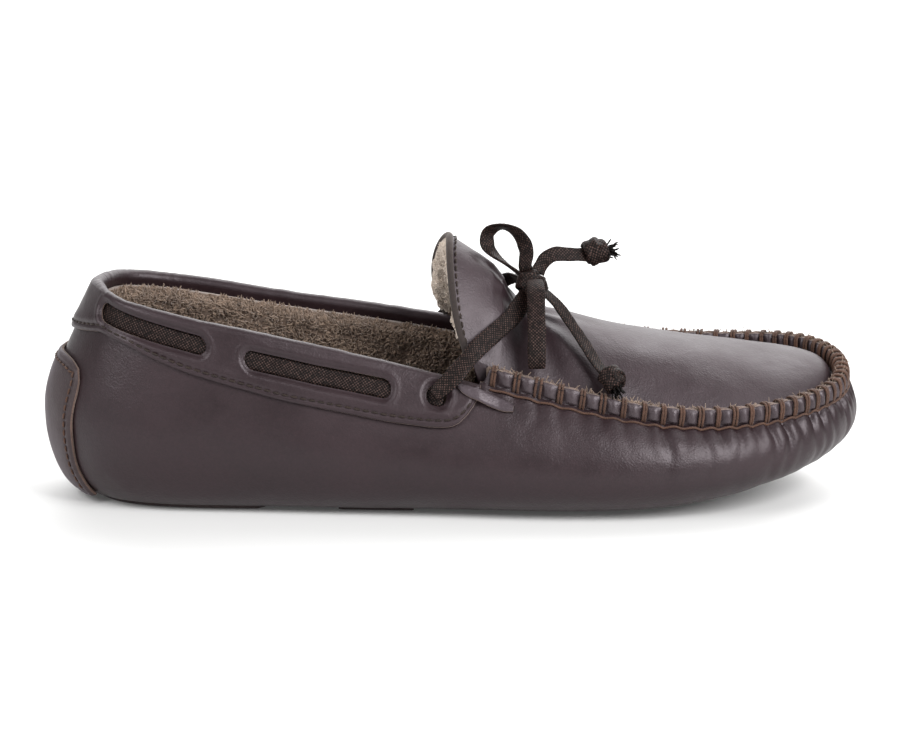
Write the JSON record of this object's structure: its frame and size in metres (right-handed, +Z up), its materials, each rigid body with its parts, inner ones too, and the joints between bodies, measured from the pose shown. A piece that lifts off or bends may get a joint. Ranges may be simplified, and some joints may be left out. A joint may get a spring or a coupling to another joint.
{
  "type": "moccasin slipper",
  "caption": "Fleece-lined driving moccasin: soft leather wrapper hand-sewn to a raised apron, folded collar threaded with a flat lace that ties in a bow over a standing tongue.",
  "frame": {"origin": "middle of the shoe's box at floor level, the free lace and bow left out", "axes": "+X towards the toe, +Y towards the medial side (big toe), +Z up from the floor; right shoe"},
  "size_m": [0.2862, 0.0972, 0.095],
  "materials": {
    "upper_leather": "satin",
    "collar_leather": "satin",
    "patch_leather": "satin",
    "raw_edge": "matte",
    "sole_leather": "matte",
    "counter_board": "matte",
    "fleece": "matte",
    "footbed_fleece": "matte",
    "tongue_fleece": "matte",
    "insole_board": "matte",
    "thread": "matte",
    "binding": "matte",
    "lace": "satin"
  },
  "bodies": {
    "shoe": {"heel_pad": "sole_leather", "waist_pad": "sole_leather", "forefoot_pad": "sole_leather", "wrapper": "upper_leather", "apron": "upper_leather", "side_tab_lateral": "raw_edge", "side_tab_medial": "raw_edge", "collar": "collar_leather", "heel_patch": "patch_leather", "heel_counter": "counter_board", "lining_quarters": "fleece", "lining_forepart": "fleece", "apron_lining": "fleece", "insole_board": "insole_board", "footbed": "footbed_fleece", "apron_stitches": "thread", "seam_thread": "thread", "collar_stitches": "thread", "heel_patch_stitches": "thread", "lace_run": "lace", "lace_crossing_lateral": "lace", "lace_crossing_medial": "lace", "bow_knot": "lace"},
    "tongue_flap": {"tongue": "upper_leather", "tongue_binding": "binding", "tongue_lining": "tongue_fleece", "tongue_stitches": "thread"},
    "rear_loop": {"bow_loop_rear": "lace"},
    "front_loop": {"bow_loop_front": "lace"},
    "near_end": {"lace_end_near": "lace", "end_knot_near": "lace"},
    "far_end": {"lace_end_far": "lace", "end_knot_far": "lace"}
  },
  "joints": [
    {"name": "tongue_tilt", "type": "hinge", "parent": "shoe", "child": "tongue_flap", "pos_m": [0.01445, -0.00042, 0.057], "axis": [0, 1, 0], "range_deg": [-9, 2], "stiffness_Nm_per_rad": 0.4},
    {"name": "near_end_lift", "type": "hinge", "parent": "shoe", "child": "near_end", "pos_m": [0.02745, -0.00442, 0.0746], "axis": [-0.6222, -0.7828, 0], "range_deg": [0, 25]},
    {"name": "far_end_swing", "type": "hinge", "parent": "shoe", "child": "far_end", "pos_m": [0.02745, -0.00442, 0.0746], "axis": [0, 0, 1], "range_deg": [-15, 4]},
    {"name": "rear_loop_lean", "type": "hinge", "parent": "shoe", "child": "rear_loop", "pos_m": [0.02745, -0.00442, 0.0746], "axis": [0, 1, 0], "range_deg": [0, 5]},
    {"name": "front_loop_lift", "type": "hinge", "parent": "shoe", "child": "front_loop", "pos_m": [0.02745, -0.00442, 0.0746], "axis": [-1, 0, 0], "range_deg": [0, 20]}
  ]
}
